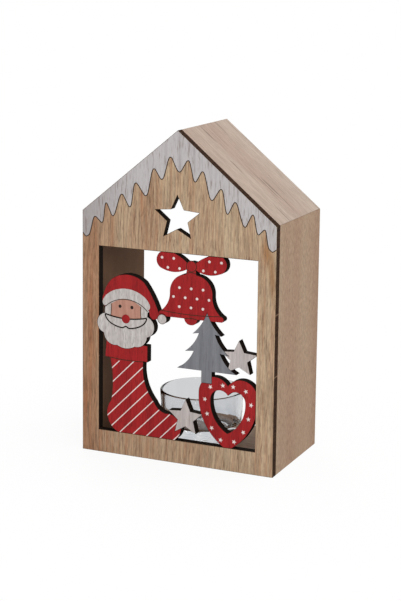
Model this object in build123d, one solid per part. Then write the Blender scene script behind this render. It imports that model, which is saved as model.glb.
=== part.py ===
from build123d import *
import os
from math import cos, hypot, radians, sin

# A small wooden house for a tealight, in millimetres. It stands on the ground, which is z = 0.
# Its front faces -Y and its back is open. The origin is the middle of the ground it covers.

# Outside of the house
house_width = 120.0
house_depth = 69.0
eaves_height = 142.5
ridge_height = 192.0

# Boards: the pierced front, and the walls, roof and floor behind it
front_thickness = 5.0
board_thickness = 6.0

# Window in the front board: the width of the bars beside it, the height of its sill, and how far
# its top edge lies below the eaves
side_bar_width = 10.8
window_sill = 13.5
window_drop = 20.0

# Star cut through the gable, above the window. The last value is how deep its notches reach,
# as a share of the way from the centre to a tip, and it serves every star.
gable_star_width = 27.1
gable_star_height = 23.7
gable_star_rise = 9.2
star_notch_share = 0.46

# Band of the open heart
heart_band = 7.4

# Pressed glass cup that holds the candle: its wall is thickest where it meets the heavy base, and
# it stands on a ring round a shallow hollow
cup_rim_diameter = 49.4
cup_foot_diameter = 46.6
cup_height = 29.0
cup_rim_wall = 1.6
cup_rim_bevel = 0.5
cup_base_wall = 3.3
cup_base_thickness = 8.0
cup_well_rounding = 3.0
cup_foot_bevel = 1.3
cup_foot_ring = 6.3
cup_hollow_depth = 0.5

# Cut-out figures of the window. Each outline is drawn on the window itself, from its lower left
# corner, as shares of its width and height. In a run of an outline, one point ends a straight
# edge, and two points are the middle and the end of an arc. Neighbours overlap here and are
# trimmed against each other later, so that they meet edge to edge.

# Bearded head in a drooping cap with a bobble
head_start_share = (0.039, 0.643)
head_runs_share = [
    ((-0.011, 0.587), (0.033, 0.535)),
    ((0.056, 0.491), (0.120, 0.475)),
    ((0.178, 0.462), (0.234, 0.477)),
    ((0.293, 0.494), (0.313, 0.534)),
    ((0.360, 0.586), (0.315, 0.645)),
    ((0.318, 0.669),),
    ((0.329, 0.673),),
    ((0.333, 0.649), (0.354, 0.634)),
    ((0.378, 0.640),),
    ((0.436, 0.631), (0.391, 0.668)),
    ((0.349, 0.753), (0.295, 0.826)),
    ((0.190, 0.861), (0.086, 0.831)),
    ((0.053, 0.795), (0.030, 0.743)),
    ((0.023, 0.706), (0.041, 0.677)),
    ((0.038, 0.660), (0.039, 0.643)),
]

# Bell with a bow: the right half, from the clapper up to the knot
bell_centre_share = 0.591
bell_start_share = (0.000, 0.628)
bell_runs_share = [
    ((0.032, 0.640), (0.042, 0.660)),
    ((0.188, 0.660),),
    ((0.205, 0.674), (0.192, 0.689)),
    ((0.150, 0.731), (0.134, 0.794)),
    ((0.110, 0.858), (0.033, 0.894)),
    ((0.028, 0.920),),
    ((0.102, 0.900), (0.178, 0.911)),
    ((0.220, 0.962), (0.173, 1.007)),
    ((0.137, 1.007),),
    ((0.081, 0.989), (0.028, 0.957)),
    ((0.000, 0.962),),
]

# Fir tree in three tiers: the right half, from the foot of the trunk up to the tip
tree_centre_share = 0.693
tree_start_share = (0.000, 0.331)
tree_runs_share = [
    ((0.033, 0.331),),
    ((0.033, 0.394),),
    ((0.187, 0.394),),
    ((0.124, 0.436), (0.083, 0.494)),
    ((0.138, 0.489),),
    ((0.084, 0.535), (0.051, 0.592)),
    ((0.091, 0.586),),
    ((0.037, 0.639), (0.000, 0.704)),
]

# Stocking with a cuff, standing on the sill
stocking_start_share = (0.291, 0.404)
stocking_runs_share = [
    ((0.301, 0.289), (0.362, 0.190)),
    ((0.396, 0.153), (0.439, 0.137)),
    ((0.535, 0.063), (0.459, -0.009)),
    ((0.154, -0.009),),
    ((0.061, 0.064), (0.081, 0.170)),
    ((0.091, 0.289), (0.073, 0.404)),
    ((0.041, 0.407),),
    ((0.049, 0.494),),
    ((0.317, 0.489),),
    ((0.317, 0.400),),
    ((0.291, 0.404),),
]

# The two white stars: centre, top, width and height
upper_star_shares = (0.892, 0.577, 0.228, 0.174)
lower_star_shares = (0.563, 0.229, 0.215, 0.181)

# The heart: centre, top, half width and height, then its right half as shares of the last two,
# going down from the dip between the lobes to the tip
heart_shares = (0.828, 0.370, 0.183, 0.383)
heart_dip_share = 0.105
heart_runs_share = [
    ((0.456, 0.000), (1.000, 0.234)),
    ((0.850, 0.600), (0.000, 1.000)),
]

# Places that follow from these sizes
front_face = -house_depth / 2
walls_front = front_face + front_thickness
house_back = house_depth / 2
inside_depth = house_depth - front_thickness
inside_width = house_width - 2 * board_thickness
window_left = side_bar_width - house_width / 2
window_width = house_width - 2 * side_bar_width
window_top = eaves_height - window_drop
window_height = window_top - window_sill
roof_rise = ridge_height - eaves_height
roof_slope = roof_rise / (house_width / 2)

# The roof boards' upright thickness, and the height of their underside where they meet a wall
roof_drop = board_thickness * hypot(1.0, roof_slope)
ridge_inside = ridge_height - roof_drop
eaves_inside = eaves_height + board_thickness * roof_slope - roof_drop


def front_point(x, z):
    """A point of the front board's face."""
    return Vector(x, front_face, z)


def window_point(x_share, z_share):
    """A point of the front board's face, from shares of the window's width and height."""
    return front_point(window_left + x_share * window_width, window_sill + z_share * window_height)


def cut_out(edges):
    """A piece as thick as the front board, cut to a closed loop of edges on its face."""
    return extrude(Face(Wire(edges)), amount=front_thickness, dir=(0, 1, 0))


def edge_run(start, runs):
    """Edges from a start point: a run of one point is straight, a run of two is an arc."""
    edges = []
    for run in runs:
        end = run[-1]
        edges.append(ThreePointArc(start, run[0], end) if len(run) == 2 else Line(start, end))
        start = end
    return edges


def polygon_cut_out(corners):
    """A straight-sided piece of the front board."""
    return cut_out(edge_run(corners[-1], [(corner,) for corner in corners]))


def figure(start_share, runs_share):
    """A cut-out figure from its outline in shares of the window."""
    runs = [[window_point(*share) for share in run] for run in runs_share]
    return cut_out(edge_run(window_point(*start_share), runs))


def mirrored_figure(centre_share, start_share, half_runs_share):
    """A figure that is the same on both sides of an upright line, from its right half."""
    def placed(share, side):
        return (centre_share + side * share[0], share[1])

    chain = [start_share] + [share for run in half_runs_share for share in run]
    up = [[placed(share, 1) for share in run] for run in half_runs_share]
    down = []
    place = len(chain) - 1
    for run in reversed(half_runs_share):
        back = chain[place - len(run):place]
        down.append([placed(share, -1) for share in reversed(back)])
        place = place - len(run)
    return figure(placed(start_share, 1), up + down)


def star(centre_x, top_z, width, height):
    """A five-pointed star with one tip up, as wide and as high as asked."""
    across = width / 2 / cos(radians(18))
    upright = height / (1 + cos(radians(36)))
    corners = []
    for step in range(10):
        reach = 1.0 if step % 2 == 0 else star_notch_share
        angle = radians(90 + 36 * step)
        x = centre_x + reach * across * cos(angle)
        z = top_z - upright + reach * upright * sin(angle)
        corners.append(front_point(x, z))
    return polygon_cut_out(corners)


def window_star(shares):
    """A star placed and sized in shares of the window."""
    centre_share, top_share, width_share, height_share = shares
    top = window_point(centre_share, top_share)
    return star(top.X, top.Z, width_share * window_width, height_share * window_height)


def heart_face(centre_x, top_z, half_width, height):
    """A solid heart with two lobes and sides that bow outwards to the tip."""
    def side_edges(side):
        def placed(share):
            return front_point(centre_x + side * share[0] * half_width, top_z - share[1] * height)

        runs = [[placed(share) for share in run] for run in heart_runs_share]
        return edge_run(placed((0, heart_dip_share)), runs)

    return cut_out(side_edges(1) + side_edges(-1))


def open_heart():
    """The heart as an even band: the inner heart is the outer one, drawn smaller by the band."""
    centre_share, top_share, half_share, height_share = heart_shares
    top = window_point(centre_share, top_share)
    half_width = half_share * window_width
    height = height_share * window_height
    inner_half = half_width - heart_band
    inner_height = height * inner_half / half_width
    outer = heart_face(top.X, top.Z, half_width, height)
    return outer - heart_face(top.X, top.Z - heart_band, inner_half, inner_height)


def plain_front():
    """The front board with its window and its gable star, before the figures are let in."""
    half_width = house_width / 2
    board = polygon_cut_out([
        front_point(-half_width, 0),
        front_point(half_width, 0),
        front_point(half_width, eaves_height),
        front_point(0, ridge_height),
        front_point(-half_width, eaves_height),
    ])
    window = polygon_cut_out([window_point(*corner) for corner in ((0, 0), (1, 0), (1, 1), (0, 1))])
    star_top = window_top + gable_star_rise + gable_star_height
    return board - window - star(0, star_top, gable_star_width, gable_star_height)


def front_pieces():
    """The front board and its figures, each trimmed to the neighbour that lies over it."""
    head = figure(head_start_share, head_runs_share)
    tree = mirrored_figure(tree_centre_share, tree_start_share, tree_runs_share)
    lower_star = window_star(lower_star_shares)
    board = plain_front() - head
    return {
        "front_board": board,
        "bearded_head": head,
        "grey_fir_tree": tree,
        "lower_star": lower_star,
        "upper_star": window_star(upper_star_shares) - tree - board,
        "dotted_bell": mirrored_figure(bell_centre_share, bell_start_share, bell_runs_share)
        - head - tree - board,
        "starred_heart": open_heart() - tree - lower_star - board,
        "striped_stocking": figure(stocking_start_share, stocking_runs_share)
        - head - lower_star - board,
    }


def board_along_depth(corners):
    """A board behind the front board, from the corners of its end, as deep as the inside."""
    points = [Vector(x, walls_front, z) for x, z in corners]
    edges = edge_run(points[-1], [(point,) for point in points])
    return extrude(Face(Wire(edges)), amount=inside_depth, dir=(0, 1, 0))


def wall(side):
    """A side wall, mitred at the eaves to the roof board that it carries."""
    outer = side * house_width / 2
    inner = side * inside_width / 2
    return board_along_depth([(outer, 0), (inner, 0), (inner, eaves_inside), (outer, eaves_height)])


def roof_board(side):
    """A roof board, mitred at the eaves and at the ridge."""
    outer = side * house_width / 2
    inner = side * inside_width / 2
    return board_along_depth([
        (outer, eaves_height), (inner, eaves_inside), (0, ridge_inside), (0, ridge_height)])


def floor_board():
    """The floor, glued between the walls and against the front board."""
    half_width = inside_width / 2
    return board_along_depth([
        (-half_width, 0), (half_width, 0), (half_width, board_thickness),
        (-half_width, board_thickness)])


def glass_cup():
    """A heavy-bottomed glass, turned about its axis: its foot stands on the middle of the floor."""
    foot_radius = cup_foot_diameter / 2
    rim_radius = cup_rim_diameter / 2
    well_radius = foot_radius - cup_base_wall
    hollow_radius = foot_radius - cup_foot_ring
    well_corner = (well_radius, cup_base_thickness)
    foot_corner = (foot_radius, 0)
    rim_corners = [(rim_radius - cup_rim_wall, cup_height), (rim_radius, cup_height)]
    section = Face(Wire(Polyline(
        (0, cup_base_thickness), well_corner, *rim_corners, foot_corner, (hollow_radius, 0),
        (hollow_radius - cup_hollow_depth, cup_hollow_depth), (0, cup_hollow_depth), close=True)))
    for corner in rim_corners:
        section = chamfer(section.vertices().sort_by_distance(corner)[0], cup_rim_bevel)
    section = chamfer(section.vertices().sort_by_distance(foot_corner)[0], cup_foot_bevel)
    section = fillet(section.vertices().sort_by_distance(well_corner)[0], cup_well_rounding)
    cup = revolve(Plane.XZ * section, axis=Axis.Z)
    return Pos(0, (walls_front + house_back) / 2, board_thickness) * cup


pieces = front_pieces()
pieces["left_wall"] = wall(-1)
pieces["right_wall"] = wall(1)
pieces["left_roof_board"] = roof_board(-1)
pieces["right_roof_board"] = roof_board(1)
pieces["floor_board"] = floor_board()
pieces["glass_cup"] = glass_cup()

os.makedirs("parts", exist_ok=True)
for name, piece in pieces.items():
    export_step(piece, f"parts/{name}.step")
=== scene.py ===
from math import cos, pi, radians, sin

import bmesh
import bpy
import numpy as np
from mathutils import Matrix, Vector
from mathutils.bvhtree import BVHTree


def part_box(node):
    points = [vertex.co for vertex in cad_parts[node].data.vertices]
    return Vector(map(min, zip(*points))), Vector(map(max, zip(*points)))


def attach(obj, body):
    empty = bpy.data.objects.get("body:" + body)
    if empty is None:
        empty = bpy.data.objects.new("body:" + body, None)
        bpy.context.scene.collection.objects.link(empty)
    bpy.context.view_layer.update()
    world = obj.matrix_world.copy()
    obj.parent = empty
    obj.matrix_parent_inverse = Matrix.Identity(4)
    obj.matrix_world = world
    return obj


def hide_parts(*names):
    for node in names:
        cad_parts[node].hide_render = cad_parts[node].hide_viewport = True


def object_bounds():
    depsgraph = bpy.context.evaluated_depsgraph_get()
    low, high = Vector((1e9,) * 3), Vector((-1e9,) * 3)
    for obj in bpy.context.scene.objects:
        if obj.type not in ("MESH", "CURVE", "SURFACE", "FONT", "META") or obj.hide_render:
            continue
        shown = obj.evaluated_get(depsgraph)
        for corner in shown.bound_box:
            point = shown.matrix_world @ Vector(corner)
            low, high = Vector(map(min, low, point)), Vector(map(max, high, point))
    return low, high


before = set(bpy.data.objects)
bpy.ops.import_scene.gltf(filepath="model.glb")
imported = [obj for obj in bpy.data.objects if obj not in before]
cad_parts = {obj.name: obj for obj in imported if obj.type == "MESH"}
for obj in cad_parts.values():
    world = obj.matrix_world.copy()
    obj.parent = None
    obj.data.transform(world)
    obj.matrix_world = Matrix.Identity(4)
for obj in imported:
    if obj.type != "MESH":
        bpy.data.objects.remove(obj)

cad_low, cad_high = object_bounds()


# Camera
# It stands to the right of the front and a little above it, as the photograph was taken. Lengths
# in the picture are in its pixels, and its axis meets the picture above the middle.
mm = 0.001
camera_azimuth = radians(24.02)
camera_elevation = radians(9.145)
camera_roll = radians(0.64)
camera_distance = 919.0 * mm
camera_target = Vector((-1.24, 0.0, 147.5)) * mm
focal_pixels = 1587.6
picture_height_pixels = 601
axis_above_middle_pixels = 100
sensor_length = 36.0

camera_data = bpy.data.cameras.new("camera")
camera_data.sensor_width = sensor_length
camera_data.lens = focal_pixels * sensor_length / picture_height_pixels
camera_data.shift_y = -axis_above_middle_pixels / picture_height_pixels
camera_data.clip_start = 10 * mm
camera_data.clip_end = 20.0
camera = bpy.data.objects.new("camera", camera_data)
bpy.context.scene.collection.objects.link(camera)
bpy.context.scene.camera = camera

camera_back = Vector((
    sin(camera_azimuth) * cos(camera_elevation),
    -cos(camera_azimuth) * cos(camera_elevation),
    sin(camera_elevation)))
level_right = Vector((cos(camera_azimuth), sin(camera_azimuth), 0.0))
level_up = camera_back.cross(level_right)
camera_right = level_right * cos(camera_roll) + level_up * sin(camera_roll)
camera_up = level_up * cos(camera_roll) - level_right * sin(camera_roll)
camera.matrix_world = Matrix.Translation(camera_target + camera_distance * camera_back) @ Matrix((
    camera_right, camera_up, camera_back)).transposed().to_4x4()


# Front board
# A 5 mm board with a wood face, cut by laser with its window and gable star. The cuts are charred
# nearly black, and its outer edges are scorched brown. It is glued over the ends of the boards
# behind it.
front_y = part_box("front_board")[0].y
board_arris = 0.22 * mm


def srgb(red, green, blue):
    """A colour as it is read off a screen, 0 to 255, in the linear light that shaders take."""
    share = np.array([red, green, blue]) / 255
    linear = np.where(share <= 0.04045, share / 12.92, ((share + 0.055) / 1.055) ** 2.4)
    return (*linear.tolist(), 1.0)


def shader(tree, kind, sockets=None, **settings):
    """Adds one shader node. Settings are its own properties, and sockets give its inputs, by name
    or place, a value or another node's output."""
    made = tree.nodes.new("ShaderNode" + kind)
    for name, value in settings.items():
        setattr(made, name, value)
    for name, value in (sockets or {}).items():
        if isinstance(value, bpy.types.NodeSocket):
            tree.links.new(value, made.inputs[name])
        else:
            made.inputs[name].default_value = value
    return made


def mixed(tree, factor, first, second, way="MIX"):
    """The colour between two others: factor 0 gives the first and 1 the second."""
    mix = shader(tree, "Mix", {0: factor, 6: first, 7: second}, data_type="RGBA", blend_type=way)
    return mix.outputs[2]


def sums(tree, operation, first, second=0.0, third=0.0):
    """One sum of numbers."""
    return shader(tree, "Math", {0: first, 1: second, 2: third}, operation=operation).outputs[0]


def ramp(tree, value, low, high, start=0.0, end=1.0):
    """Carries a value from the range low to high into the range start to end, and no further."""
    return shader(tree, "MapRange", {"Value": value, "From Min": low, "From Max": high,
                                     "To Min": start, "To Max": end}).outputs[0]


def new_group(name, inputs, outputs):
    """An empty node group with named number or vector inputs and number outputs."""
    group = bpy.data.node_groups.new(name, "ShaderNodeTree")
    for label, default in inputs.items():
        kind = "NodeSocketVector" if default is None else "NodeSocketFloat"
        socket = group.interface.new_socket(label, in_out="INPUT", socket_type=kind)
        if default is not None:
            socket.default_value = default
    for label in outputs:
        group.interface.new_socket(label, in_out="OUTPUT", socket_type="NodeSocketFloat")
    return group, group.nodes.new("NodeGroupInput"), group.nodes.new("NodeGroupOutput")


def grain_group():
    """Grain that runs along Z and wanders a little to the sides. Each mask is noise whose cells
    have a width across the grain and a length along it, both in millimetres, so that its spots
    are drawn out into streaks. A mask starts where the noise passes its start, and is full a span
    further on."""
    cells = {"Drift": (22.0, 300.0), "Figure": (3.0, 66.0), "Fibre": (0.7, 14.0),
             "Fleck": (0.6, 3.0), "Pore": (0.5, 11.0)}
    starts = {"Drift": 0.36, "Figure": 0.36, "Fibre": 0.36, "Fleck": 0.36, "Pore": 0.6}
    spans = {"Drift": 0.28, "Figure": 0.34, "Fibre": 0.28, "Fleck": 0.28, "Pore": 0.1}
    wander_scale, wander_reach = 0.018, 5.0
    inputs = {"Vector": None}
    for label, (width, length) in cells.items():
        inputs.update({label + " Width": width, label + " Length": length,
                       label + " Start": starts[label]})
    group, given, result = new_group("grain", inputs, tuple(cells))
    place = shader(group, "VectorMath", {0: given.outputs["Vector"], 1: (1 / mm,) * 3},
                   operation="MULTIPLY").outputs[0]
    wander = shader(group, "TexNoise", {"Vector": place, "Scale": wander_scale, "Detail": 1.0})
    wander = shader(group, "VectorMath", {0: wander.outputs["Color"],
                                          1: (wander_reach, wander_reach, 0.0)},
                    operation="MULTIPLY").outputs[0]
    place = shader(group, "VectorMath", {0: place, 1: wander}, operation="ADD").outputs[0]
    for label, span in spans.items():
        width, length, low = (given.outputs[label + end] for end in (" Width", " Length", " Start"))
        cell = shader(group, "CombineXYZ", {0: width, 1: width, 2: length}).outputs[0]
        spot = shader(group, "VectorMath", {0: place, 1: cell}, operation="DIVIDE").outputs[0]
        noise = shader(group, "TexNoise", {"Vector": spot, "Scale": 1.0, "Detail": 2.5})
        mask = ramp(group, noise.outputs["Fac"], low, sums(group, "ADD", low, span))
        group.links.new(mask, result.inputs[label])
    return group


grain = grain_group()


def grain_masks(tree, turn=(0, 0, 0), shift=(0, 0, 0), **settings):
    """The grain's masks for one material. The turn brings the way of its grain to Z, the shift
    picks another stretch of it, and the settings are widths, lengths and starts of its masks."""
    place = shader(tree, "TexCoord").outputs["Object"]
    place = shader(tree, "Mapping", {"Vector": place, "Rotation": turn, "Location": shift})
    sockets = {"Vector": place.outputs[0]}
    sockets.update({label.replace("_", " ").title(): value for label, value in settings.items()})
    return shader(tree, "Group", sockets, node_tree=grain).outputs


def new_finish(name):
    """An empty material, its Principled shader and its output."""
    finish = bpy.data.materials.new(name)
    finish.use_nodes = True
    finish.node_tree.nodes.clear()
    surface = shader(finish.node_tree, "BsdfPrincipled")
    output = shader(finish.node_tree, "OutputMaterial", {"Surface": surface.outputs[0]})
    return finish, finish.node_tree, surface, output


def across_house(tree, spans):
    """A sum of ramps over x. Each span gives the place where a ramp starts, the place where it
    ends, and its values at the two."""
    place = shader(tree, "SeparateXYZ", {0: shader(tree, "TexCoord").outputs["Object"]})
    total = 0.0
    for low, high, start, end in spans:
        total = sums(tree, "ADD", ramp(tree, place.outputs["X"], low, high, start, end), total)
    return total


def brightness(tree, masks, contrast):
    """A grey that goes up and down round 1 with the fibres and flecks of the grain."""
    fleck_share = 0.35
    value = sums(tree, "ADD", sums(tree, "MULTIPLY", masks["Fibre"], 1 - fleck_share),
                 sums(tree, "MULTIPLY", masks["Fleck"], fleck_share))
    value = ramp(tree, value, 0.0, 1.0, 1.0 - contrast, 1.0 + contrast)
    return shader(tree, "CombineColor", {0: value, 1: value, 2: value}).outputs[0]


def soft_spot(tree, x, z, half_width, half_length, lean):
    """A mask that is 1 in the core of an oval on the front and falls evenly to 0 at its rim. The
    oval leans: its middle line moves aside by the lean times the way down."""
    core_share = 0.2
    place = shader(tree, "SeparateXYZ", {0: shader(tree, "TexCoord").outputs["Object"]})
    down = sums(tree, "SUBTRACT", z, place.outputs["Z"])
    aside = sums(tree, "SUBTRACT", place.outputs["X"], sums(tree, "MULTIPLY_ADD", down, lean, x))
    shares = shader(tree, "CombineXYZ", {0: sums(tree, "DIVIDE", aside, half_width),
                                         1: sums(tree, "DIVIDE", down, half_length)})
    away = shader(tree, "VectorMath", {0: shares.outputs[0]}, operation="LENGTH")
    return ramp(tree, away.outputs["Value"], core_share, 1.0, 1.0, 0.0)


def wood_finish(name, light, deep, streak, streak_share=0.5, pore_share=0.5, contrast=0.16,
                deeper=(), knots=(), knot=None, **grain_settings):
    """Bare wood. Two tones drift into each other, darker streaks and short pores follow the
    grain, and its fibres stand up a little. Where the spans of deeper say so, the deep tone and
    the streaks come out more. Soft spots in the tone of a knot lie at the places of knots."""
    pore_tone, pore_depth, relief = 0.35, 2.0, 0.05 * mm
    finish, tree, surface, _ = new_finish(name)
    masks = grain_masks(tree, **grain_settings)
    drift = masks["Drift"]
    streaks = sums(tree, "MULTIPLY", masks["Figure"], streak_share)
    if deeper:
        side = across_house(tree, deeper)
        drift = sums(tree, "MULTIPLY_ADD", drift, 0.5, side)
        streaks = sums(tree, "MULTIPLY", streaks, ramp(tree, side, -0.2, 0.6, 0.5, 1.4))
    drift = shader(tree, "Clamp", {"Value": drift}).outputs[0]
    colour = mixed(tree, drift, light, deep)
    colour = mixed(tree, streaks, colour, streak)
    for place in knots:
        spot = soft_spot(tree, *place)
        spot = sums(tree, "MULTIPLY", spot, ramp(tree, masks["Fibre"], 0.0, 1.0, 0.55, 1.0))
        colour = mixed(tree, spot, colour, knot)
    colour = mixed(tree, 1.0, colour, brightness(tree, masks, contrast), way="MULTIPLY")
    pores = sums(tree, "MULTIPLY", masks["Pore"], pore_share)
    pore_colour = tuple(pore_tone * value for value in streak[:3]) + (1.0,)
    colour = mixed(tree, pores, colour, pore_colour)
    tree.links.new(colour, surface.inputs["Base Color"])
    tree.links.new(ramp(tree, masks["Fibre"], 0.0, 1.0, 0.7, 0.55), surface.inputs["Roughness"])
    surface.inputs["Specular IOR Level"].default_value = 0.3
    pits = sums(tree, "MULTIPLY", masks["Pore"], pore_depth)
    height = sums(tree, "SUBTRACT", masks["Fibre"], pits)
    bump = shader(tree, "Bump", {"Strength": 0.6, "Distance": relief, "Height": height})
    tree.links.new(bump.outputs[0], surface.inputs["Normal"])
    return finish


def burnt_finish(name, dark, pale, nicks=()):
    """A laser-cut edge: fine streaks across the board's thickness, between two burnt browns. The
    nicks are heights at which a short stretch was left unburnt."""
    nick_core, nick_reach, nick_share, bare_wood = 0.2 * mm, 0.6 * mm, 0.4, srgb(150, 122, 98)
    fibre_share, relief = 0.35, 0.05 * mm
    finish, tree, surface, _ = new_finish(name)
    masks = grain_masks(tree, turn=(radians(90), 0, 0), figure_width=0.8, fibre_width=0.3)
    colour = mixed(tree, masks["Figure"], dark, pale)
    colour = mixed(tree, sums(tree, "MULTIPLY", masks["Fibre"], fibre_share), colour, pale)
    if nicks:
        height = shader(tree, "SeparateXYZ", {0: shader(tree, "TexCoord").outputs["Object"]})
        for nick in nicks:
            away = sums(tree, "ABSOLUTE", sums(tree, "SUBTRACT", height.outputs["Z"], nick))
            bare = ramp(tree, away, nick_reach, nick_core, 0.0, nick_share)
            colour = mixed(tree, bare, colour, bare_wood)
    tree.links.new(colour, surface.inputs["Base Color"])
    surface.inputs["Roughness"].default_value = 0.8
    surface.inputs["Specular IOR Level"].default_value = 0.05
    bump = shader(tree, "Bump", {"Strength": 0.5, "Distance": relief, "Height": masks["Fibre"]})
    tree.links.new(bump.outputs[0], surface.inputs["Normal"])
    return finish


def board_back_finish(name, pale, deep):
    """Bare brown fibreboard: fine fibres lie every way, with a soft mottle under them."""
    mottle_scale, fibre_scale, fleck_tone, relief = 0.11 / mm, 1.1 / mm, 0.6, 0.04 * mm
    finish, tree, surface, _ = new_finish(name)
    place = shader(tree, "TexCoord").outputs["Object"]
    mottle = shader(tree, "TexNoise", {"Vector": place, "Scale": mottle_scale, "Detail": 3.0})
    fibres = shader(tree, "TexNoise", {"Vector": place, "Scale": fibre_scale, "Detail": 3.0,
                                       "Distortion": 1.5})
    colour = mixed(tree, ramp(tree, mottle.outputs["Fac"], 0.35, 0.65, 0.0, 0.6), pale, deep)
    flecks = ramp(tree, fibres.outputs["Fac"], 0.35, 0.75, 0.0, 0.35)
    fleck = tuple(fleck_tone * value for value in deep[:3]) + (1.0,)
    colour = mixed(tree, flecks, colour, fleck)
    tree.links.new(colour, surface.inputs["Base Color"])
    surface.inputs["Roughness"].default_value = 0.8
    surface.inputs["Specular IOR Level"].default_value = 0.2
    bump = shader(tree, "Bump", {"Strength": 0.4, "Distance": relief,
                                 "Height": fibres.outputs["Fac"]})
    tree.links.new(bump.outputs[0], surface.inputs["Normal"])
    return finish


def new_piece(name, mesh, finishes, body="house"):
    """A piece of the object from its mesh and finishes. It rides on its body."""
    for finish in finishes:
        mesh.materials.append(finish)
    piece = bpy.data.objects.new(name, mesh)
    bpy.context.scene.collection.objects.link(piece)
    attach(piece, body)
    return piece


def cut_board(node, name, arris, finishes, finish_of, arris_finish=-1):
    """A copy of a CAD piece with its doubles merged and its flat faces joined. Each face takes the
    finish whose place finish_of(centres, normals) gives, and a bevel eases the edges."""
    doubles_reach = 0.002 * mm
    flat_angle, curve_angle, corner_angle = radians(0.5), radians(30), radians(35)
    work = bmesh.new()
    work.from_mesh(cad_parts[node].data)
    bmesh.ops.remove_doubles(work, verts=work.verts, dist=doubles_reach)
    bmesh.ops.dissolve_limit(work, angle_limit=flat_angle, verts=work.verts, edges=work.edges)
    for edge in work.edges:
        edge.smooth = edge.is_manifold and edge.calc_face_angle() < curve_angle
    mesh = bpy.data.meshes.new(name)
    work.to_mesh(mesh)
    work.free()
    piece = new_piece(name, mesh, finishes)
    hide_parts(node)
    centres = np.empty(len(mesh.polygons) * 3)
    normals = np.empty(len(mesh.polygons) * 3)
    mesh.polygons.foreach_get("center", centres)
    mesh.polygons.foreach_get("normal", normals)
    chosen = finish_of(centres.reshape(-1, 3), normals.reshape(-1, 3)).astype(np.int32)
    mesh.polygons.foreach_set("material_index", chosen)
    mesh.polygons.foreach_set("use_smooth", np.ones(len(chosen), bool))
    bevel = piece.modifiers.new("eased edges", "BEVEL")
    bevel.width = arris
    bevel.segments = 2
    bevel.limit_method = "ANGLE"
    bevel.angle_limit = corner_angle
    bevel.harden_normals = True
    bevel.material = arris_finish
    return piece


def front_cut_back(centres, normals):
    """0 for a face that looks to the front, 2 for one that looks back, 1 for a cut edge."""
    facing = 0.7
    return np.where(normals[:, 1] < -facing, 0, np.where(normals[:, 1] > facing, 2, 1))


def front_board_faces(centres, normals):
    """As front_cut_back, and 3 for the outer edges of the front board."""
    near = 0.1 * mm
    faces = front_cut_back(centres, normals)
    half_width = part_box("front_board")[1].x
    eaves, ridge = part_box("left_wall")[1].z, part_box("front_board")[1].z
    slope_height = ridge - (ridge - eaves) * np.abs(centres[:, 0]) / half_width
    outer = (np.abs(centres[:, 0]) > half_width - near) | (centres[:, 2] < near)
    outer |= np.abs(centres[:, 2] - slope_height) < near
    return np.where((faces == 1) & outer, 3, faces)


# The first two spans of deeper darken the front towards its left side. That is partly the wood's
# own tone and partly painted shade, where the light falls off to the left. The third span darkens
# the right edge in the wood's own tone.
front_wood = wood_finish(
    "front_wood", light=srgb(171, 149, 122), deep=srgb(147, 111, 84), streak=srgb(146, 92, 58),
    streak_share=0.8, pore_share=0.5, contrast=0.3, drift_width=9.0, drift_length=220.0,
    figure_width=2.0, figure_length=55.0, figure_start=0.46, fibre_width=0.85, fibre_length=16.0,
    pore_width=0.55, pore_length=7.0, pore_start=0.57, shift=(0.113, 0.0, 0.113),
    deeper=((-60 * mm, 40 * mm, 0.3, -0.2), (-52 * mm, -44 * mm, 0.5, 0.0),
            (46 * mm, 50 * mm, 0.0, 0.3)),
    knots=((54.6 * mm, 127 * mm, 4.5 * mm, 11 * mm, 0.14),
           (57.6 * mm, 114 * mm, 2.8 * mm, 15 * mm, 0.05)),
    knot=srgb(141, 101, 64))
charred = burnt_finish("charred_cut", dark=srgb(12, 7, 4), pale=srgb(30, 20, 13))
scorched = burnt_finish("scorched_edge", dark=srgb(36, 22, 13), pale=srgb(61, 42, 28),
                        nicks=(92.8 * mm, 57.6 * mm))
board_back = board_back_finish("bare_fibreboard", pale=srgb(140, 108, 84), deep=srgb(120, 90, 68))
cut_board("front_board", "front_board_face", board_arris,
          (front_wood, charred, board_back, scorched), front_board_faces, arris_finish=3)


# Painted snow
# A thin white wash along the roof's edges that lets the grain show, ending in icicles. A fine
# line burnt by the laser follows the icicles.
wash_thickness = 0.06 * mm
line_thickness = 0.03 * mm
icicle_line_width = 0.5 * mm
icicle_rounding_share = 0.3
ridge_inset_share = 1.6
icicle_corners = np.array([
    (-60.0, 129.6), (-57.6, 127.2), (-55.2, 128.8), (-52.4, 140.6), (-46.7, 135.0), (-45.1, 149.8),
    (-40.1, 138.6), (-35.1, 155.6), (-29.1, 144.5), (-26.6, 162.7), (-18.9, 151.6), (-15.2, 171.4),
    (-9.2, 161.9), (-4.8, 178.8), (1.0, 167.0), (6.9, 177.3), (10.4, 161.9), (15.8, 171.8),
    (20.4, 152.0), (27.2, 162.7), (30.1, 145.1), (35.4, 156.1), (40.7, 138.7), (46.0, 149.8),
    (48.5, 136.0), (53.3, 141.2), (55.0, 130.2), (57.5, 128.0), (60.0, 129.6)]) * mm


def eased_line(corners, share):
    """A line through corners that are rounded. Within a share of the way to its neighbours a and
    b, a corner c is the quadratic curve (1-t)^2 a + 2t(1-t) c + t^2 b."""
    steps = 7
    here = corners[1:-1]
    start = here + share * (corners[:-2] - here)
    end = here + share * (corners[2:] - here)
    t = np.linspace(0, 1, steps)[:, None, None]
    curves = (1 - t) ** 2 * start + 2 * t * (1 - t) * here + t ** 2 * end
    return np.vstack([corners[:1], curves.transpose(1, 0, 2).reshape(-1, 2), corners[-1:]])


def ribbon(path, width):
    """The outline of a line of even width: the path moved half a width to each side, along the
    normal of its direction at each point."""
    along = np.gradient(path, axis=0)
    along /= np.linalg.norm(along, axis=1)[:, None]
    aside = np.column_stack([-along[:, 1], along[:, 0]]) * width / 2
    return np.vstack([path - aside, (path + aside)[::-1]])


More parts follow.
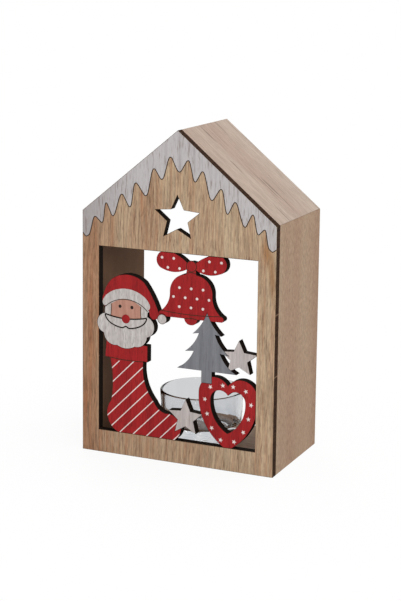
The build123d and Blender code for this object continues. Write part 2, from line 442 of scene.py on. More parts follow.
def film(name, outline, finish, edge_finish, back_y=front_y, thickness=wash_thickness):
    """A thin flat layer on the front: its outline in x and z, once at the back and once at the
    front, with a face on each and a strip of four-sided faces between them."""
    before = np.roll(outline, 1, axis=0)
    if np.sum(before[:, 0] * outline[:, 1] - outline[:, 0] * before[:, 1]) < 0:
        outline = outline[::-1]
    count = len(outline)
    spots = np.zeros((2, count, 3))
    spots[:, :, 0], spots[:, :, 2] = outline[:, 0], outline[:, 1]
    spots[0, :, 1], spots[1, :, 1] = back_y - thickness, back_y
    first = np.arange(count)
    after = np.roll(first, -1)
    sides = np.column_stack([first, first + count, after + count, after])
    faces = [first.tolist(), (first[::-1] + count).tolist(), *sides.tolist()]
    mesh = bpy.data.meshes.new(name)
    mesh.from_pydata(spots.reshape(-1, 3).tolist(), [], faces)
    mesh.polygons.foreach_set("material_index", np.r_[0, 1, np.ones(count)].astype(np.int32))
    return new_piece(name, mesh, (finish, edge_finish))


def painted_finish(name, colour, shade, tint, tint_share, contrast=0.08, shine=0.15, deeper=(),
                   **grain_settings):
    """Thin matt paint on wood. It is a little darker along the streaks of the grain and where the
    spans of deeper say so, and the tint of the wood under it shows along the fibres and pores."""
    fibre_share, relief = 0.35, 0.03 * mm
    finish, tree, surface, _ = new_finish(name)
    masks = grain_masks(tree, **grain_settings)
    streaks = masks["Figure"]
    if deeper:
        streaks = sums(tree, "MAXIMUM", streaks, across_house(tree, deeper))
    paint = mixed(tree, streaks, colour, shade)
    thin = sums(tree, "MULTIPLY", masks["Fibre"], fibre_share)
    thin = sums(tree, "MULTIPLY", sums(tree, "ADD", thin, masks["Pore"]), tint_share)
    thin = shader(tree, "Clamp", {"Value": thin}).outputs[0]
    paint = mixed(tree, thin, paint, tint)
    paint = mixed(tree, 1.0, paint, brightness(tree, masks, contrast), way="MULTIPLY")
    tree.links.new(paint, surface.inputs["Base Color"])
    surface.inputs["Roughness"].default_value = 0.6
    surface.inputs["Specular IOR Level"].default_value = shine
    height = sums(tree, "SUBTRACT", masks["Fibre"], masks["Pore"])
    bump = shader(tree, "Bump", {"Strength": 0.5, "Distance": relief, "Height": height})
    tree.links.new(bump.outputs[0], surface.inputs["Normal"])
    return finish


# The deeper span darkens the snow wash towards its left end, from x = -60 mm to -25 mm. This is
# painted shade, where the light falls off to the left.
snow_wash = painted_finish(
    "snow_wash", colour=srgb(184, 180, 180), shade=srgb(158, 152, 152), tint=srgb(120, 106, 100),
    tint_share=0.6, contrast=0.12, deeper=((-60 * mm, -25 * mm, 1.0, 0.0),), figure_width=1.6,
    figure_start=0.5, fibre_width=0.5, pore_width=0.7, pore_length=9.0, pore_start=0.57)
burnt_line = burnt_finish("burnt_line", dark=srgb(42, 31, 24), pale=srgb(64, 49, 39))

icicles = eased_line(icicle_corners, icicle_rounding_share)
half_width = cad_high.x - board_arris
eaves_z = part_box("left_wall")[1].z - board_arris
ridge_z = cad_high.z - ridge_inset_share * board_arris
roof_edge = np.array([(half_width, eaves_z), (0.0, ridge_z), (-half_width, eaves_z)])
icicles[:, 0] = np.clip(icicles[:, 0], -half_width, half_width)
film("painted_snow", np.vstack([icicles, roof_edge]), snow_wash, snow_wash)
film("icicle_line", ribbon(icicles, icicle_line_width), burnt_line, burnt_line,
     thickness=wash_thickness + line_thickness)


# Walls
# Two 6 mm boards with a fine wood veneer outside and bare brown board inside, mitred at the eaves
# and glued to the back of the front board.
wall_arris = 0.35 * mm


def outside_inside(centres, normals):
    """0 for a side or a slope that looks outwards: the way to it from the middle of the house,
    times its normal, is more than the least reach. 1 for the rest, ends and undersides too."""
    least_reach, tilt = 15 * mm, 0.5
    away = centres - (0.0, 0.0, (cad_low.z + cad_high.z) / 2)
    away[:, 1] = 0.0
    outwards = np.sum(away * normals, axis=1) > least_reach
    end = np.abs(normals[:, 1]) >= tilt
    underside = normals[:, 2] <= -tilt
    return np.where(outwards & ~end & ~underside, 0, 1)


inner_board = board_back_finish("bare_inside", pale=srgb(115, 85, 62), deep=srgb(105, 76, 54))
wall_wood = wood_finish(
    "wall_wood", light=srgb(157, 132, 108), deep=srgb(147, 117, 93), streak=srgb(130, 99, 77),
    streak_share=0.1, pore_share=0.5, contrast=0.2, figure_width=2.2, fibre_width=0.9,
    fibre_length=2.6, pore_width=0.8, pore_length=2.4, pore_start=0.62, shift=(0.3, 0.1, 0.0))
for side in ("left", "right"):
    cut_board(f"{side}_wall", f"{side}_wall_board", wall_arris,
              (wall_wood, inner_board), outside_inside)


# Roof boards
# Two 6 mm boards, mitred and glued at the ridge and the eaves, with the grain of their veneer
# running down the slope.
roof_slope = np.arctan2(cad_high.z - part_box("left_wall")[1].z, cad_high.x)
for side, turn in (("left", -1), ("right", 1)):
    roof_wood = wood_finish(
        f"{side}_roof_wood", light=srgb(175, 158, 144), deep=srgb(165, 144, 130),
        streak=srgb(142, 118, 101), streak_share=0.2, pore_share=0.8, contrast=0.17,
        figure_width=1.6, fibre_width=0.7, pore_width=1.5, pore_length=34.0, pore_start=0.62,
        turn=(0, turn * (pi / 2 - roof_slope), 0), shift=(0.0, 0.2 * turn, 0.0))
    cut_board(f"{side}_roof_board", f"{side}_roof_slope", wall_arris,
              (roof_wood, inner_board), outside_inside)


# Floor
# A plain 6 mm board, glued between the walls and behind the front board. Its grain runs from side
# to side.
floor_arris = 0.25 * mm
floor_wood = wood_finish(
    "floor_wood", light=srgb(146, 118, 94), deep=srgb(134, 105, 82), streak=srgb(108, 82, 63),
    streak_share=0.4, pore_share=0.3, turn=(0, radians(90), 0))
cut_board("floor_board", "floor_base", floor_arris, (floor_wood,),
          lambda centres, normals: np.zeros(len(centres)))


# Bearded head
# A figure cut from 5 mm board in a drooping cap with a bobble. Its fields are painted, and the
# laser burnt the lines between them. It is glued edge to edge in the window.
figure_arris = 0.12 * mm
field_thickness = 0.12 * mm
layer = 0.03 * mm
face_middle_x = -31.8 * mm
brim_half_width = 3.1 * mm
brim_ends = 4
face_line_width = 0.4 * mm
brim_line_width = 0.45 * mm
moustache_line_width = 0.75 * mm
eye_spread, eye_z = 3.8 * mm, 88.4 * mm
eye_radius, eye_rise = 1.0 * mm, 0.2 * mm
nose_z, nose_radius = 81.3 * mm, 2.6 * mm
bobble_x, bobble_z = -8.9 * mm, 83.6 * mm
bobble_radius, bobble_line_radius = 2.7 * mm, 2.95 * mm
round_rise = 0.4 * mm

red_paint = painted_finish(
    "red_paint", colour=srgb(158, 35, 37), shade=srgb(137, 28, 31), tint=srgb(80, 25, 23),
    tint_share=0.45, shine=0.1, contrast=0.2, pore_start=0.57, pore_length=6.0)
skin_paint = painted_finish(
    "skin_paint", colour=srgb(183, 137, 120), shade=srgb(169, 122, 105), tint=srgb(116, 80, 66),
    tint_share=0.45, contrast=0.12)
fur_wash = painted_finish(
    "fur_wash", colour=srgb(197, 192, 189), shade=srgb(176, 169, 166), tint=srgb(118, 106, 99),
    tint_share=0.5, contrast=0.17, figure_width=1.6, fibre_width=0.5, fibre_length=6.0,
    pore_width=0.4, pore_length=3.5, pore_start=0.57)
black_paint = painted_finish(
    "black_paint", colour=srgb(34, 26, 22), shade=srgb(24, 18, 15), tint=srgb(16, 12, 10),
    tint_share=0.5)


def arc(start, through, end, steps=32):
    """Points along the circle through three points. Its centre is as far from all three, which
    gives two equations, and the angle grows evenly from the start past the middle to the end."""
    start, through, end = (np.array(point, float) for point in (start, through, end))
    sides = 2 * np.array([through - start, end - start])
    squares = np.array([through @ through - start @ start, end @ end - start @ start])
    centre = np.linalg.solve(sides, squares)
    angles = [np.arctan2(*(point - centre)[::-1]) for point in (start, through, end)]
    first, _, last = np.unwrap(angles)
    turn = np.linspace(first, last, steps)
    radius = np.linalg.norm(start - centre)
    return centre + radius * np.column_stack([np.cos(turn), np.sin(turn)])


def face_outline(piece):
    """The outline of a piece's largest front face, in x and z, anticlockwise from the front."""
    facing = 0.7
    face = max((p for p in piece.data.polygons if p.normal.y < -facing), key=lambda p: p.area)
    return np.array([piece.data.vertices[corner].co for corner in face.vertices])[:, [0, 2]]


def stretch(outline, start, end):
    """The part of a closed outline from the point nearest to start, on to the one nearest to
    end."""
    begin = np.argmin(np.linalg.norm(outline - start, axis=1))
    rolled = np.roll(outline, -begin, axis=0)
    return rolled[:np.argmin(np.linalg.norm(rolled - end, axis=1)) + 1]


def drawn_in(outline, inset):
    """A closed outline moved inwards. Each corner moves along the sum of the normals of its two
    edges, divided by one and their product, so that both edges move by the inset. A least
    divisor keeps sharp corners from moving far."""
    least = 0.3
    before = outline - np.roll(outline, 1, axis=0)
    after = np.roll(outline, -1, axis=0) - outline
    inward = [np.column_stack([-edge[:, 1], edge[:, 0]]) for edge in (before, after)]
    first, second = (way / np.linalg.norm(way, axis=1)[:, None] for way in inward)
    product = np.sum(first * second, axis=1)[:, None]
    return outline + inset * (first + second) / np.maximum(1 + product, least)


def band(path, half_width):
    """The outline of a band round a path, with rounded ends: from u = -1 to 1 along it, its half
    width is the largest one times the root of 1 - u^roundness."""
    roundness = 6
    u = -np.cos(np.linspace(0, pi, len(path)))
    length = np.linspace(-1, 1, len(path))
    points = np.column_stack([np.interp(u, length, path[:, axis]) for axis in (0, 1)])
    along = np.gradient(points, axis=0)
    along /= np.linalg.norm(along, axis=1)[:, None]
    aside = np.column_stack([-along[:, 1], along[:, 0]])
    aside *= (half_width * np.sqrt(1 - np.abs(u) ** roundness))[:, None]
    return np.vstack([points - aside, (points + aside)[::-1][1:-1]])


def moustache():
    """Two lobes under the nose, as their upper and lower line. Across them u runs from -1 to 1:
    the upper line sags by 1 - u^2, the lower one hangs by the root of that, and a notch parts the
    lobes in the middle."""
    half_width, top_z, sag, hang = 13.2 * mm, 83.1 * mm, 1.7 * mm, 7.3 * mm
    notch_depth, notch_share = 1.2 * mm, 0.1
    u = np.cos(np.linspace(0, pi, 49))
    bow = 1 - u ** 2
    x = face_middle_x + u * half_width
    upper = top_z - sag * bow
    lower = top_z - hang * np.sqrt(bow) + notch_depth * np.exp(-(u / notch_share) ** 2)
    return np.column_stack([x, upper]), np.column_stack([x, lower])


def disc(x, z, radius):
    """A circle's outline."""
    corners = 40
    turn = np.linspace(0, 2 * pi, corners, endpoint=False)
    return np.column_stack([x + radius * np.cos(turn), z + radius * np.sin(turn)])


head = cut_board("bearded_head", "bearded_head_board", figure_arris,
                 (charred, charred, board_back), front_cut_back)
head_outline = face_outline(head)
brim_path = arc((-46.0 * mm, 88.3 * mm), (-31.8 * mm, 95.9 * mm), (-17.3 * mm, 88.0 * mm))
notch = np.array([-16.8, 86.9]) * mm
left_end = np.array([-45.0, 87.4]) * mm
under_brim = brim_path[brim_ends:-brim_ends]
beard = np.vstack([stretch(head_outline, left_end, notch), under_brim[::-1]])
cap = np.vstack([stretch(head_outline, notch, left_end), under_brim])
film("beard", drawn_in(beard, figure_arris), fur_wash, charred,
     thickness=field_thickness)
film("cap", drawn_in(cap, figure_arris), red_paint, charred,
     thickness=field_thickness)
level = front_y - field_thickness
face_side = arc((10.0 * mm, 81 * mm), (9.4 * mm, 86 * mm), (10.2 * mm, 94 * mm))
face_right = face_side + (face_middle_x, 0)
face_left = face_side[::-1] * (-1, 1) + (face_middle_x, 0)
film("face", np.vstack([face_right, face_left]), skin_paint, burnt_line,
     level, layer)
for side, path in {"left": face_left, "right": face_right}.items():
    film(f"face_{side}_line", ribbon(path, face_line_width),
         burnt_line, burnt_line, level, 2 * layer)
film("brim", band(brim_path, brim_half_width), fur_wash, fur_wash,
     level, 3 * layer)
brim_foot = arc((-44.9 * mm, 87.5 * mm), (-31.8 * mm, 92.8 * mm), (-18.0 * mm, 87.0 * mm))
film("brim_line", ribbon(brim_foot, brim_line_width),
     burnt_line, burnt_line, level, 4 * layer)
moustache_top, moustache_low = moustache()
film("moustache", np.vstack([moustache_top, moustache_low[::-1][1:-1]]),
     fur_wash, fur_wash, level, 5 * layer)
for side, path in {"upper": moustache_top, "lower": moustache_low}.items():
    film(f"moustache_{side}_line", ribbon(path, moustache_line_width),
         charred, charred, level, 6 * layer)


def repeated(name, shape, blocks, places, y, finish):
    """One piece of many small shapes. The points of a shape, one set for all or a set for each
    place, are moved to the places, in x and z, at the depth y, and its blocks of faces count on
    from one shape to the next."""
    places = np.asarray(places, float).reshape(-1, 2)
    middles = np.column_stack([places[:, 0], np.full(len(places), y), places[:, 1]])
    spots = middles[:, None] + shape
    shape_size = spots.shape[1]
    faces = []
    for index in range(len(places)):
        for block in blocks:
            faces += (block + index * shape_size).tolist()
    mesh = bpy.data.meshes.new(name)
    mesh.from_pydata(spots.reshape(-1, 3).tolist(), [], faces)
    return new_piece(name, mesh, (finish,))


def domes(name, places, radius, rise, finish, back_y, rings=6, turns=28):
    """Low round studs: on each, the distance s from the middle runs from 0 to 1 and the height is
    the rise times the root of 1 - s^2, over a flat back."""
    s = np.sin(np.linspace(0, pi / 2, rings + 1))[1:]
    turn = np.linspace(0, 2 * pi, turns, endpoint=False)
    ring = np.empty((rings, turns, 3))
    ring[:, :, 0] = radius * s[:, None] * np.cos(turn)
    ring[:, :, 2] = radius * s[:, None] * np.sin(turn)
    ring[:, :, 1] = (-rise * np.sqrt(1 - s ** 2))[:, None]
    one = np.vstack([[(0, -rise, 0)], ring.reshape(-1, 3), [(0, 0, 0)]])
    first = np.arange(turns)
    after = np.roll(first, -1)
    quads = []
    for row in range(rings - 1):
        inner, outer = 1 + row * turns, 1 + (row + 1) * turns
        quads.append(np.column_stack([first + inner, first + outer, after + outer, after + inner]))
    last = 1 + (rings - 1) * turns
    middle = np.column_stack([np.zeros(turns, int), first + 1, after + 1])
    back = np.column_stack([np.full(turns, len(one) - 1), after + last, first + last])
    piece = repeated(name, one, (middle, *quads, back), places, back_y, finish)
    piece.data.polygons.foreach_set("use_smooth", np.ones(len(piece.data.polygons), bool))


eye_places = [(face_middle_x - eye_spread, eye_z), (face_middle_x + eye_spread, eye_z)]
domes("eyes", eye_places, eye_radius, eye_rise, black_paint, level - layer)
domes("nose", [(face_middle_x, nose_z)], nose_radius, round_rise, red_paint,
      level - 6 * layer)
film("bobble_line", disc(bobble_x, bobble_z, bobble_line_radius),
     burnt_line, burnt_line, level, layer)
domes("bobble", [(bobble_x, bobble_z)], bobble_radius, round_rise, fur_wash,
      level - layer)


# Bell
# A red bell with a bow, cut from 5 mm board, with white dots and burnt lines at its knot, its lip
# and its clapper. It is glued to the window's top edge, the bobble and the tree.
bell_x = 9.0 * mm
bell_line_width = 0.4 * mm
dot_pitch = 7.3 * mm
dot_row_share = 0.75
dots_from_z = 92.0 * mm
dot_radius, dot_rise, dot_margin = 0.85 * mm, 0.06 * mm, 1.5 * mm
neck_z, neck_half_width = 108 * mm, 5 * mm
knot_z, knot_radius, knot_line_radius = 115.8 * mm, 2.9 * mm, 3.3 * mm

bell = cut_board("dotted_bell", "dotted_bell_board", figure_arris,
                 (red_paint, charred, board_back), front_cut_back, arris_finish=1)


def lies_on(piece, places, margin):
    """The places, in x and z, that have the piece's front face under them and round them, out to
    the margin. A short ray looks for the face from just before it."""
    before = 1 * mm
    surface = BVHTree.FromPolygons([v.co for v in piece.data.vertices],
                                   [list(p.vertices) for p in piece.data.polygons])
    turn = np.linspace(0, 2 * pi, 10, endpoint=False)
    round_about = np.vstack([(0, 0), margin * np.column_stack([np.cos(turn), np.sin(turn)])])

    def on_face(x, z):
        start = Vector((x, front_y - before, z))
        return surface.ray_cast(start, Vector((0, 1, 0)), 2 * before)[0] is not None

    return np.array([spot for spot in places if all(on_face(*(spot + way)) for way in round_about)])


white_paint = painted_finish(
    "white_paint", colour=srgb(226, 216, 212), shade=srgb(212, 200, 196),
    tint=srgb(176, 120, 112), tint_share=0.3)
columns, rows = np.meshgrid(np.arange(-4, 5), np.arange(0, 8))
dot_places = np.column_stack([
    (bell_x + (columns + 0.5 * (rows % 2)) * dot_pitch).ravel(),
    (dots_from_z + rows * dot_row_share * dot_pitch).ravel()])
neck = (dot_places[:, 1] > neck_z) & (np.abs(dot_places[:, 0] - bell_x) < neck_half_width)
domes("bell_dots", lies_on(bell, dot_places[~neck], dot_margin), dot_radius,
      dot_rise, white_paint, front_y, rings=2, turns=16)
for name, reach, end_z, middle_z in (
        ("lip", 18.9, 88.9, 87.9), ("clapper", 4.1, 85.4, 85.9), ("neck", 3.0, 111.6, 112.2)):
    bow = arc((-reach, end_z), (0.0, middle_z), (reach, end_z)) * mm + (bell_x, 0.0)
    film(f"bell_{name}_line", ribbon(bow, bell_line_width),
         burnt_line, burnt_line, thickness=line_thickness)
film("bow_knot_line", disc(bell_x, knot_z, knot_line_radius), burnt_line,
     burnt_line, thickness=line_thickness)
film("bow_knot", disc(bell_x, knot_z, knot_radius), red_paint, red_paint,
     thickness=2 * line_thickness)


# Stocking
# A red stocking with a plain cuff and slanting white stripes, cut from 5 mm board. It stands on
# the window's sill, glued to the beard and the lower star.
stripe_count = 14
stripe_pitch = 8.6 * mm
stripe_width = 0.55 * mm
stripe_reach = 120 * mm
stripes_before, stripes_below = 50 * mm, 8 * mm
cuff_z = 57.6 * mm
cuff_line_width = 0.45 * mm

stocking = cut_board("striped_stocking", "striped_stocking_board", figure_arris,
                     (red_paint, charred, board_back), front_cut_back, arris_finish=1)


def kept_inside(piece, outline):
    """Keeps what lies inside an outline on the front: the piece meets a prism of that outline, and
    only what both hold is left."""
    half_depth = 1 * mm
    prism = film("cutter", outline, charred, charred, front_y + half_depth,
                 2 * half_depth)
    both = piece.modifiers.new("both", "BOOLEAN")
    both.operation = "INTERSECT"
    both.solver = "EXACT"
    both.object = prism
    bpy.context.view_layer.update()
    evaluated = piece.evaluated_get(bpy.context.evaluated_depsgraph_get())
    shape = bpy.data.meshes.new_from_object(evaluated)
    piece.modifiers.clear()
    piece.data = shape
    bpy.data.objects.remove(prism)


def stripes(name, starts, width, reach, finish):
    """Bars at 45 degrees, rising to the right, each a box from its start on the lower edge out to
    the reach, all in one mesh."""
    along, aside = np.array([1, 1]) / 2 ** 0.5, np.array([-1, 1]) / 2 ** 0.5
    corners = np.array([-aside * width / 2, along * reach - aside * width / 2,
                        along * reach + aside * width / 2, aside * width / 2])
    spots = np.zeros((2, 4, 3))
    spots[..., 0], spots[..., 2] = corners[:, 0], corners[:, 1]
    spots[0, :, 1] = -wash_thickness
    box = np.array([(0, 1, 2, 3), (7, 6, 5, 4), (0, 4, 5, 1), (1, 5, 6, 2), (2, 6, 7, 3),
                    (3, 7, 4, 0)])
    return repeated(name, spots.reshape(-1, 3), (box,), starts, front_y, finish)


stocking_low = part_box("striped_stocking")[0]
stripe_starts = np.column_stack([
    stocking_low.x - stripes_before + np.arange(stripe_count) * stripe_pitch,
    np.full(stripe_count, stocking_low.z - stripes_below)])
leg = drawn_in(face_outline(stocking), figure_arris)
leg = leg[leg[:, 1] < cuff_z]
kept_inside(stripes("stocking_stripes", stripe_starts, stripe_width,
                    stripe_reach, white_paint), leg)
cuff_foot = arc((-41.6 * mm, cuff_z), (-31 * mm, 56.9 * mm), (-20.6 * mm, 57.2 * mm))
film("cuff_line", ribbon(cuff_foot, cuff_line_width), burnt_line, burnt_line,
     thickness=line_thickness)


# Heart
# An open red heart cut from 5 mm board, with small white stars along the middle of its band. It
# is glued to the sill and the right bar.
heart_middle_x = 32.3 * mm
heart_top_z = 53.8 * mm
heart_band = 7.4 * mm
heart_half_width = 18.0 * mm
heart_height = 41.7 * mm
heart_dip_share = 0.105
heart_arcs_share = (((0, heart_dip_share), (0.456, 0.0), (1.0, 0.234)),
                    ((1.0, 0.234), (0.850, 0.600), (0.0, 1.0)))
stars_a_side = 6
star_radius, star_notch_share, star_margin = 1.45 * mm, 0.42, 1.6 * mm

heart = cut_board("starred_heart", "starred_heart_board", figure_arris,
                  (red_paint, charred, board_back), front_cut_back, arris_finish=1)


def small_stars(name, places, radius, notch_share, thickness, finish):
    """Five-pointed stars: their ten corners lie in turn on a circle and on a share of it, once on
    the back and once on the front, with a middle point for the front and one for the back. Each
    star is turned a little further than the one before."""
    corners, further = 10, radians(25)
    corner = np.arange(corners)
    turn = radians(90) + corner * 2 * pi / corners + np.arange(len(places))[:, None] * further
    reach = radius * np.where(corner % 2 == 0, 1.0, notch_share)
    spots = np.zeros((len(places), 2 * corners + 2, 3))
    spots[:, :corners, 0], spots[:, :corners, 2] = reach * np.cos(turn), reach * np.sin(turn)
    spots[:, corners:-2] = spots[:, :corners]
    spots[:, :corners, 1] = spots[:, -2, 1] = -thickness
    after = np.roll(corner, -1)
    front = np.column_stack([np.full(corners, 2 * corners), corner, after])
    back = np.column_stack([np.full(corners, 2 * corners + 1), after + corners, corner + corners])
    sides = np.column_stack([corner, corner + corners, after + corners, after])
    return repeated(name, spots, (front, sides, back), places, front_y, finish)


middle_half = heart_half_width - heart_band / 2
middle_height = heart_height * middle_half / heart_half_width
half_heart = np.vstack([arc(*points) for points in heart_arcs_share])
half_heart *= (middle_half, -middle_height)
half_heart += (0.0, heart_top_z - heart_band / 2)
run = np.r_[0, np.cumsum(np.linalg.norm(np.diff(half_heart, axis=0), axis=1))]
star_runs = (np.arange(stars_a_side) + 0.5) * run[-1] / stars_a_side
beside = np.column_stack([np.interp(star_runs, run, half_heart[:, axis]) for axis in (0, 1)])
star_places = np.vstack([beside + (heart_middle_x, 0), beside * (-1, 1) + (heart_middle_x, 0)])
small_stars("heart_stars", lies_on(heart, star_places, star_margin),
            star_radius, star_notch_share, wash_thickness, white_paint)


# Fir tree
# A grey fir tree in three tiers, cut from 5 mm board. The grain of the wood shows in its paint.
# It is glued to the bell and the heart.
grey_paint = painted_finish(
    "grey_paint", colour=srgb(122, 123, 128), shade=srgb(106, 107, 112), tint=srgb(84, 82, 84),
    tint_share=0.5, figure_width=2.0)
cut_board("grey_fir_tree", "grey_fir_tree_board", figure_arris,
          (grey_paint, charred, board_back), front_cut_back, arris_finish=1)


# White stars
# Two five-pointed stars cut from 5 mm board, under a thin white wash that lets the grain show.
# They are glued to their neighbours.
star_wash = painted_finish(
    "star_wash", colour=srgb(188, 180, 177), shade=srgb(171, 163, 160), tint=srgb(122, 108, 102),
    tint_share=0.5, contrast=0.12, figure_width=1.6, shift=(0.1, 0.0, 0.0))
for which in ("upper", "lower"):
    cut_board(f"{which}_star", f"{which}_star_board", figure_arris,
              (star_wash, charred, board_back), front_cut_back, arris_finish=1)


# Glass cup
# A clear pressed glass for one tealight, with a heavy base and a rounded rim. It stands loose on
# the floor and lifts out through the open back.
cup_low, cup_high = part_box("glass_cup")
cup_middle = (cup_low + cup_high) / 2
rim_radius = 24.7 * mm
foot_radius = 23.3 * mm
rim_wall = 1.6 * mm
well_radius = 21.6 * mm
base_thickness = 8.0 * mm
hollow_radius = 17.0 * mm
hollow_depth = 0.5 * mm
foot_rounding = 2.2 * mm
foot_flare = 0.1 * mm
well_rounding = 4.0 * mm
well_flare = 0.3 * mm
rounding_middle_share = 0.29
ripple = 0.03 * mm
swirl_scale = 0.12 / mm
dent_depth = 0.7 * mm
glass_tint = (0.9, 0.91, 0.925, 1.0)
painted_reflection_tint = (0.68, 0.72, 0.77, 1.0)
shadow_tint = (0.9, 0.9, 0.9, 1.0)


def lathe(profile, turns):
    """A turned mesh on the cup's middle: at the angle a, a point of the profile (r, z) lies at
    r cos a, r sin a, z. Pressed glass ripples, so two small sine waves are added to r. They go
    five and nine times round, drift with r and z, and die out towards the middle."""
    r_drift, z_drift, calm_radius = 3.1 * mm, 2.3 * mm, 8 * mm
    turn = np.linspace(0, 2 * pi, turns, endpoint=False)
    r, z = profile[:, 0][:, None], profile[:, 1][:, None]
    wave = ripple * (np.sin(5 * turn + r / r_drift) + np.sin(9 * turn - z / z_drift))
    wave = wave * np.clip(r / calm_radius, 0, 1)
    spots = np.stack([(r + wave) * np.cos(turn), (r + wave) * np.sin(turn), z + 0 * turn], axis=-1)
    poles = [(0.0, 0.0, profile[0, 1]), (0.0, 0.0, profile[-1, 1])]
    inner = spots[1:-1]
    count = len(inner)
    index = np.arange(count * turns).reshape(count, turns)
    after = np.roll(index, -1, axis=1)
    quads = np.stack([index[:-1], after[:-1], after[1:], index[1:]], axis=-1).reshape(-1, 4)
    low, high = count * turns, count * turns + 1
    start = np.column_stack([np.full(turns, low), after[0], index[0]])
    end = np.column_stack([np.full(turns, high), index[-1], after[-1]])
    spots = np.vstack([inner.reshape(-1, 3), poles]) + (cup_middle.x, cup_middle.y, cup_low.z)
    mesh = bpy.data.meshes.new("pressed_glass_cup")
    mesh.from_pydata(spots.tolist(), [], quads.tolist() + start.tolist() + end.tolist())
    mesh.polygons.foreach_set("use_smooth", np.ones(len(mesh.polygons), bool))
    return mesh


def line(start, end, steps):
    """Evenly spaced points from start to end."""
    t = np.linspace(0, 1, steps)[:, None]
    return np.array(start) * (1 - t) + np.array(end) * t


cup_height = cup_high.z - cup_low.z
rim_middle = rim_radius - rim_wall / 2
rim_base = cup_height - rim_wall / 2
rim_outside = (rim_radius, rim_base)
rim_inside = (rim_radius - rim_wall, rim_base)
foot_inset = rounding_middle_share * foot_rounding
well_inset = rounding_middle_share * well_rounding
foot_edge = (foot_radius - foot_rounding, 0)
foot_side = (foot_radius + foot_flare, foot_rounding)
well_side = (well_radius + well_flare, base_thickness + well_rounding)
well_floor = (well_radius - well_rounding, base_thickness)
cup_profile = np.vstack([
    line((0, hollow_depth), (hollow_radius - hollow_depth, hollow_depth), 12),
    line((hollow_radius, 0), foot_edge, 4),
    arc(foot_edge, (foot_radius - foot_inset, foot_inset), foot_side, 8)[1:],
    line(foot_side, rim_outside, 12)[1:],
    arc(rim_outside, (rim_middle, cup_height), rim_inside, 9)[1:],
    line(rim_inside, well_side, 12)[1:],
    arc(well_side, (well_radius - well_inset, base_thickness + well_inset), well_floor, 8)[1:],
    line(well_floor, (0, base_thickness), 12)[1:],
])

# Its index of refraction is lower than that of real glass, so that its thin walls show no more of
# the dark boards behind them than those of the real cup do.
glass, glass_tree, glass_surface, glass_output = new_finish("clear_glass")
glass_surface.inputs["Roughness"].default_value = 0.01
glass_surface.inputs["IOR"].default_value = 1.24
glass_surface.inputs["Transmission Weight"].default_value = 1.0
place = shader(glass_tree, "TexCoord").outputs["Object"]
swirl = shader(glass_tree, "TexNoise", {"Vector": place, "Scale": swirl_scale, "Detail": 2.0,
                                        "Distortion": 0.8})
height = shader(glass_tree, "SeparateXYZ", {0: place}).outputs["Z"]
base_top = cup_low.z + base_thickness
# The swirl dents the heavy base, which is real. It also clouds the base bluish grey, and that grey
# is painted reflection standing in for the grey refractions of the thick base.
heavy = ramp(glass_tree, height, base_top, base_top + base_thickness, 0.7, 0.03)
painted_reflection = sums(glass_tree, "MULTIPLY", ramp(glass_tree, swirl.outputs["Fac"], 0.4, 0.6), heavy)
colour = mixed(glass_tree, painted_reflection, glass_tint, painted_reflection_tint)
glass_tree.links.new(colour, glass_surface.inputs["Base Color"])
dents = shader(glass_tree, "Bump", {"Strength": heavy, "Distance": dent_depth,
                                    "Height": swirl.outputs["Fac"]})
glass_tree.links.new(dents.outputs[0], glass_surface.inputs["Normal"])
clear = shader(glass_tree, "BsdfTransparent", {"Color": shadow_tint})
shadow = shader(glass_tree, "LightPath").outputs["Is Shadow Ray"]
through = shader(glass_tree, "MixShader", {0: shadow, 1: glass_surface.outputs[0],
                                           2: clear.outputs[0]})
glass_tree.links.new(through.outputs[0], glass_output.inputs["Surface"])
glass_cup = new_piece("pressed_glass_cup", lathe(cup_profile, turns=128), (glass,),
                      body="cup")
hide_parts("glass_cup")


# Floor and light
# A plain white floor that fades into a white surround, a soft lamp at the front right, one above
# and one at the back left, and an even light from all round.
floor_reach = 3.0
floor_z = -0.05 * mm
fade_start, fade_end = 60 * mm, 200 * mm
# Seen through the glass, the floor and the white surround are 0.3 darker. This is painted shade
# that greys the cup.
through_glass_shade = 0.3
lamp_target = Vector((0, 0, 90 * mm))
lamp_size = 0.8

floor_mesh = bpy.data.meshes.new("white_floor")
floor_corners = [(x * floor_reach, y * floor_reach, floor_z)
                 for x, y in ((-1, -1), (1, -1), (1, 1), (-1, 1))]
floor_mesh.from_pydata(floor_corners, [], [(0, 1, 2, 3)])
white_floor = bpy.data.objects.new("white_floor", floor_mesh)
bpy.context.scene.collection.objects.link(white_floor)


def seen_rays(tree):
    """1 for a ray from the camera, off something glossy or through glass, and 0 for all others,
    then 1 for a ray through glass alone."""
    path = shader(tree, "LightPath")
    glass_ray = path.outputs["Is Transmission Ray"]
    seen = sums(tree, "MAXIMUM", path.outputs["Is Glossy Ray"], glass_ray)
    return sums(tree, "MAXIMUM", path.outputs["Is Camera Ray"], seen), glass_ray


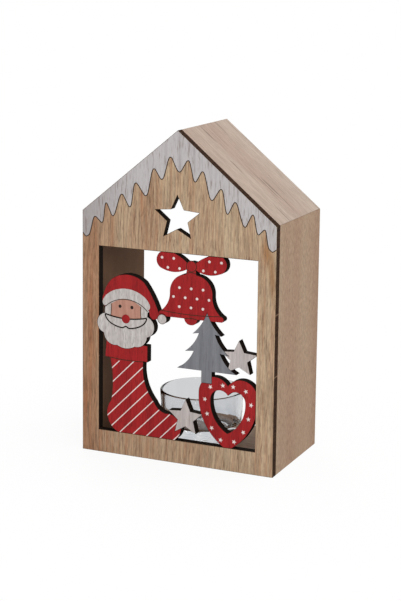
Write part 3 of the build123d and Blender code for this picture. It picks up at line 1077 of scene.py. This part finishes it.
floor_finish, floor_tree, floor_surface, floor_output = new_finish("white_floor")
floor_surface.inputs["Base Color"].default_value = (0.86, 0.86, 0.86, 1.0)
floor_surface.inputs["Roughness"].default_value = 0.9
floor_surface.inputs["Specular IOR Level"].default_value = 0.0
seen, glass_ray = seen_rays(floor_tree)
spot = shader(floor_tree, "TexCoord").outputs["Object"]
away = shader(floor_tree, "VectorMath", {0: spot}, operation="LENGTH").outputs["Value"]
fade = ramp(floor_tree, away, fade_start, fade_end, 0.9, 1.0)
strength = sums(floor_tree, "MULTIPLY_ADD", glass_ray, -through_glass_shade, 1.0)
glow = shader(floor_tree, "Emission", {"Color": (1, 1, 1, 1), "Strength": strength})
white = shader(floor_tree, "MixShader", {0: sums(floor_tree, "MULTIPLY", seen, fade),
                                         1: floor_surface.outputs[0], 2: glow.outputs[0]})
floor_tree.links.new(white.outputs[0], floor_output.inputs["Surface"])
floor_mesh.materials.append(floor_finish)

world = bpy.data.worlds.new("white_surround")
bpy.context.scene.world = world
world.use_nodes = True
sky = world.node_tree
sky.nodes.clear()
seen, glass_ray = seen_rays(sky)
strength = ramp(sky, seen, 0.0, 1.0, 0.5, 1.0)
# Painted shade: the surround is 0.3 darker where it is seen through the glass.
strength = sums(sky, "SUBTRACT", strength, sums(sky, "MULTIPLY", glass_ray, through_glass_shade))
background = shader(sky, "Background", {"Color": (1, 1, 1, 1), "Strength": strength})
shader(sky, "OutputWorld", {"Surface": background.outputs[0]})


def lamp(name, place, watts, mirrored=True):
    """A square soft lamp that faces the middle of the house. It may be left out of what the glass
    mirrors and lets through."""
    data = bpy.data.lights.new(name, "AREA")
    data.shape = "SQUARE"
    data.size = lamp_size
    data.energy = watts
    made = bpy.data.objects.new(name, data)
    away = Vector(place) - lamp_target
    turn = away.to_track_quat("Z", "Y").to_matrix().to_4x4()
    made.matrix_world = Matrix.Translation(place) @ turn
    made.visible_glossy = mirrored
    made.visible_transmission = mirrored
    bpy.context.scene.collection.objects.link(made)


lamp("front_lamp", place=(0.9, -1.3, 0.9), watts=16.2)
lamp("top_lamp", place=(0.5, 0.1, 1.5), watts=8.0)
lamp("back_lamp", place=(-0.9, 1.2, 0.8), watts=8.0, mirrored=False)

bpy.context.scene.view_settings.view_transform = "Standard"
